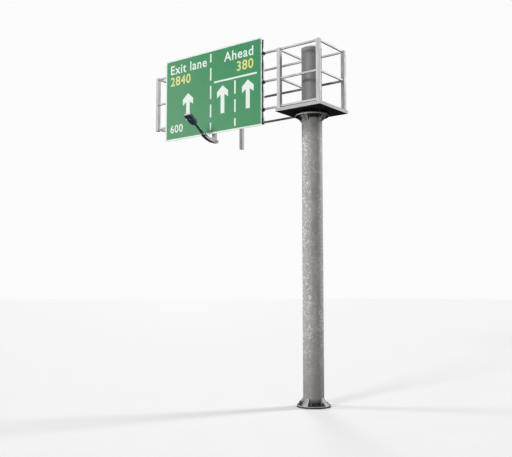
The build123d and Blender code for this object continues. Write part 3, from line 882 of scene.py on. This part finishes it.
piece("anchor_bolts", anchor_bolts, BOLT_SHADED)
piece("flange_bolts", flange_bolts, BOLT_SHADED)
piece("clamp_bolts", clamp_bolts, BOLT)
piece("bracket_bolts", bracket_bolts, BOLT)
piece("clamp_plugs", clamp_plugs, CLAMP)
piece("channel_covers", channel_covers, COVER)


# Welds
def tube_end_welds(built):
    """A bead round both ends of every chord and cross rail, where they meet the posts."""
    for name in nodes:
        if name.endswith("_chord"):
            axis, sideways = ALONG, Y
        elif name.endswith("_rails"):
            axis, sideways = ACROSS, X
        else:
            continue
        for low, high in solids_of(name):
            for end in (low, high):
                centre = (low + high) / 2
                centre[axis] = end[axis]
                weld(built, square_loop(centre, sideways, Z, (high.z - low.z) / 2), True)


def post_welds(built):
    """Beads round the foot of each cage post on the deck, and under the cap of every post."""
    for name in nodes:
        if "_post_" not in name:
            continue
        low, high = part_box(name)
        centre, half = (low + high) / 2, (high.x - low.x) / 2
        centre.z = high.z
        weld(built, square_loop(centre.copy(), X, Y, half), True, POST_CAP_WELD)
        if name.startswith("cage"):
            centre.z = low.z
            weld(built, square_loop(centre, X, Y, half), True, POST_FOOT_WELD)


def column_welds(built):
    """Beads round the column between its stiffeners and at every plate, and along the stiffeners."""
    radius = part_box("column")[1].x
    foot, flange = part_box("base_plate")[1].z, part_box("top_flange")
    pitch = 360 / GUSSET_COUNT

    def on_column(across, height):
        return Vector((math.sqrt(radius ** 2 - across ** 2), across, height))

    for node, height in (("foot_gussets", foot), ("top_gussets", flange[0].z)):
        low, high = max(solids_of(node), key=lambda box: box[1].x)
        half_root = (high.y - low.y) / 2
        half_angle = math.degrees(math.asin(half_root / radius)) + GUSSET_CLEAR
        far = high.z if abs(low.z - height) < abs(high.z - height) else low.z
        places = [vertex.co for vertex in nodes[node].data.vertices]
        half_tip = max(p.y for p in places if abs(p.z - far) < SAME_LEVEL and p.x > radius)
        for k in range(GUSSET_COUNT):
            between_gussets = arc(radius, height, pitch * k + half_angle, pitch - 2 * half_angle)
            weld(built, between_gussets, False, COLUMN_END_WELD)
            turn = Matrix.Rotation(math.radians(pitch * k), 4, "Z")
            for side in (-1, 1):
                root = on_column(side * half_root, height)
                for end in (on_column(side * half_tip, far), Vector((high.x, side * half_root, height))):
                    weld(built, [turn @ point for point in line(root, end)], False)
    under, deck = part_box("platform_bottom_plate")[0].z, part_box("platform_deck")[1].z
    for height in (flange[1].z, under, deck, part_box("column_cap")[0].z):
        weld(built, arc(radius, height, 0, 360), True, COLUMN_RING_WELD)


piece("tube_end_welds", tube_end_welds, WELD, smooth=True)
piece("post_welds", post_welds, WELD, smooth=True)
piece("column_welds", column_welds, DULL_WELD, smooth=True)


# Platform
def tread(built):
    """Raised lozenges of the chequer plate, turned alternately, clear of the column and the posts."""
    low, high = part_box("platform_deck")
    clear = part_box("column_head")[1].x + TREAD_LENGTH
    posts = [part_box(name) for name in nodes if name.startswith("cage_post")]
    count = int((high.x - low.x) / TREAD_PITCH)
    start = low.x + ((high.x - low.x) - (count - 1) * TREAD_PITCH) / 2

    def on_post(spot):
        return any(a.x - TREAD_LENGTH < spot.x < b.x + TREAD_LENGTH and
                   a.y - TREAD_LENGTH < spot.y < b.y + TREAD_LENGTH for a, b in posts)

    for row in range(count):
        for step in range(count):
            centre = Vector((start + step * TREAD_PITCH, start + row * TREAD_PITCH, high.z))
            if centre.xy.length < clear or on_post(centre):
                continue
            turn = Matrix.Rotation(math.radians(45 if (row + step) % 2 else 135), 4, "Z")
            rings = []
            for share, up in ((1.0, 0.0), (TREAD_TOP_SHARE, TREAD_HEIGHT)):
                long, wide = TREAD_LENGTH / 2 * share, TREAD_WIDTH / 2 * share
                rings.append([centre + turn @ Vector((x * long, y * wide, up)) for x, y in TREAD_SHARES])
            skin(built, rings, lids=(-1,))


def bar_ends(built):
    """Plates that close the open ends of the platform's front and rear edge bars."""
    low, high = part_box("platform_edge_bars")
    bottom, top = low.z + BAR_END_INSET, high.z - BAR_END_INSET
    for x, inward in ((low.x, 1), (high.x, -1)):
        for y, toward in ((low.y, 1), (high.y, -1)):
            near, far = y + toward * BAR_END_INSET, y + toward * (BAR_DEPTH - BAR_END_INSET)
            outline = ((near, bottom), (far, bottom), (far, top), (near, top))
            skin(built, [[(x + inward * depth, a, b) for a, b in outline] for depth in BAR_END_FACES])


piece("deck_tread", tread, PLATFORM)
piece("edge_bar_ends", bar_ends, PLATFORM)


# Lamp
AXIS = Vector((0, -math.cos(LAMP_TILT), math.sin(LAMP_TILT)))
UPWARD = Vector((0, math.sin(LAMP_TILT), math.cos(LAMP_TILT)))


def extent(node, direction):
    """Where a node starts and ends along a direction, from the origin."""
    reach = [direction.dot(vertex.co) for vertex in nodes[node].data.vertices]
    return min(reach), max(reach)


def half_width(node):
    """Half of a node's width across the lamp."""
    low, high = extent(node, X)
    return (high - low) / 2


def lamp_span(node):
    """Where a node starts and ends along the lamp, from the rear of its housing."""
    rear = extent("lamp_housing", AXIS)[0]
    low, high = extent(node, AXIS)
    return low - rear, high - rear


def lamp_frame(height):
    """A frame on the lamp at a height along UPWARD: X across, Y from its rear to its tip, Z upward."""
    middle, rear = sum(extent("lamp_housing", X)) / 2, extent("lamp_housing", AXIS)[0]
    origin = X * middle + AXIS * rear + UPWARD * height
    columns = [list(v) + [0.0] for v in (-X, AXIS, UPWARD)] + [list(origin) + [1.0]]
    return Matrix(columns).transposed()


LENS_FRAME = lamp_frame(extent("lamp_lens", UPWARD)[1])
COVER_FRAME = lamp_frame(extent("lamp_cover", UPWARD)[0])


def lens_gasket(built):
    """A rubber seal lying round the lamp's glass."""
    half = half_width("lamp_lens")
    near, far = lamp_span("lamp_lens")
    loop = [Vector((*point, 0.0)) for point in rounded(-half, near, half, far, LENS_CORNER, steps=6)]
    points = [LENS_FRAME @ point for point in along_sides(loop, GASKET_STEP)]
    weld(built, points, True, GASKET_RADIUS, GASKET_SIDES)


def reflector(built):
    """A bright dished tray inside the lamp, under the glass."""
    half = half_width("lamp_lens")
    near, far = lamp_span("lamp_lens")
    rings = []
    for step_in, depth in REFLECTOR_RINGS:
        inset = REFLECTOR_CLEAR + step_in
        outline = rounded(-half + inset, near + inset, half - inset, far - inset, REFLECTOR_CORNER, steps=4)
        rings.append([LENS_FRAME @ Vector((x, y, -depth)) for x, y in outline])
    skin(built, rings, lids=(-1,))


def lamp_tube(built):
    """The lamp itself: a tube lying across the tray with a cap and holder at each end."""
    place = Matrix.Translation((0, sum(lamp_span("lamp_lens")) / 2, -TUBE_DEPTH))
    rings = [(TUBE_RADIUS * radius, TUBE_HALF_LENGTH * reach) for radius, reach in TUBE_SHARES]
    profile = [(radius, -reach) for radius, reach in rings] + list(reversed(rings))
    turned(built, LENS_FRAME @ place @ Matrix.Rotation(math.pi / 2, 4, "Y"), profile, TUBE_SIDES)


def cover_screws(built):
    """Screws round the lamp's cover, and a vent plug in its middle."""
    half = half_width("lamp_cover") - COVER_SCREW_INSET
    near, far = COVER_SCREW_START, lamp_span("lamp_cover")[1] - COVER_SCREW_INSET
    middle = (near + far) / 2
    spots = [(side * half, out, SCREW_RINGS, SCREW_SIDES) for side in (-1, 1) for out in (near, middle, far)]
    for across, out, rings, sides in spots + [(0, middle, VENT_RINGS, VENT_SIDES)]:
        turned(built, COVER_FRAME @ Matrix.Translation((across, out, 0)) @ TURNED_OVER, rings, sides)


def collar_screws(built):
    """A set screw in each side of the collar."""
    centre = sum((v * (sum(extent("lamp_collar", v)) / 2) for v in (X, AXIS, UPWARD)), Vector((0, 0, 0)))
    for side in (-1, 1):
        place = Matrix.Translation(centre + X * (side * half_width("lamp_collar")))
        bolt(built, place @ Matrix.Rotation(side * math.pi / 2, 4, "Y"), COLLAR_SCREW)


piece("lens_gasket", lens_gasket, CLAMP, smooth=True)
piece("lamp_reflector", reflector, MIRROR, smooth=True)
piece("lamp_tube", lamp_tube, TUBE_WHITE, smooth=True)
piece("cover_screws", cover_screws, BOLT)
piece("collar_screws", collar_screws, BOLT)


# Floor, light and camera
def pale_floor(scene):
    """A wide plain floor, paler to the camera than in the light it throws back."""
    built = bmesh.new()
    bmesh.ops.create_circle(built, cap_ends=True, segments=FLOOR_SIDES, radius=FLOOR_RADIUS,
                            matrix=Matrix.Translation((0, 0, -FLOOR_DROP)))
    mesh = bpy.data.meshes.new("floor")
    built.to_mesh(mesh)
    built.free()
    material, tree, shader = new_material("floor_pale", Roughness=0.9, Specular_IOR_Level=0.1,
                                          Emission_Color=FLOOR_SEEN)
    cloud = between(tree, noise(tree, 0.8, rough=0.55), 0.3, 0.7, 0.0, 0.05)
    seen = add(tree, "LightPath").outputs["Is Camera Ray"]
    colour = mixed(tree, seen, FLOOR_COLOUR, FLOOR_SEEN)
    wire(tree, shader, Base_Color=mixed(tree, cloud, colour, FLOOR_STAIN),
         Emission_Strength=times(tree, seen, FLOOR_GLOW))
    mesh.materials.append(material)
    floor = bpy.data.objects.new("floor", mesh)
    scene.collection.objects.link(floor)


def soft_suns(scene):
    """Four wide suns round the gantry."""
    for name, source, strength in SUNS:
        lamp = bpy.data.lights.new(name, "SUN")
        lamp.energy = strength
        lamp.angle = math.radians(SUN_ANGLE)
        holder = bpy.data.objects.new(name, lamp)
        holder.rotation_euler = Vector(source).to_track_quat("Z", "Y").to_euler()
        scene.collection.objects.link(holder)


def studio_world(scene):
    """An even, faint sky, with a pale backdrop where it is seen."""
    world = bpy.data.worlds.new("studio")
    world.use_nodes = True
    tree = world.node_tree
    tree.nodes.clear()
    path = add(tree, "LightPath")
    seen = plus(tree, path.outputs["Is Camera Ray"], path.outputs["Is Glossy Ray"])
    seen = plus(tree, seen, path.outputs["Is Transmission Ray"], clamp=True)
    light = add(tree, "Background", {"Color": SKY_COLOUR, "Strength": WORLD_LIGHT})
    backdrop = add(tree, "Background", {"Color": BACKDROP, "Strength": 1.0})
    either = add(tree, "MixShader", {0: seen, 1: light.outputs[0], 2: backdrop.outputs[0]})
    add(tree, "OutputWorld", {"Surface": either.outputs[0]})
    scene.world = world


def photo_camera(scene):
    """A camera where the photograph's stood, as fitted."""
    lens = bpy.data.cameras.new("camera")
    lens.lens = CAMERA_LENS
    lens.sensor_width = CAMERA_SENSOR
    lens.clip_end = CAMERA_CLIP
    camera = bpy.data.objects.new("camera", lens)
    camera.location = CAMERA_PLACE
    camera.rotation_euler = (math.radians(90.0 + CAMERA_PITCH), 0.0, math.radians(CAMERA_TURN))
    scene.collection.objects.link(camera)
    scene.camera = camera


for add_to in (pale_floor, soft_suns, studio_world, photo_camera):
    add_to(bpy.context.scene)
bpy.context.scene.view_settings.view_transform = "Standard"
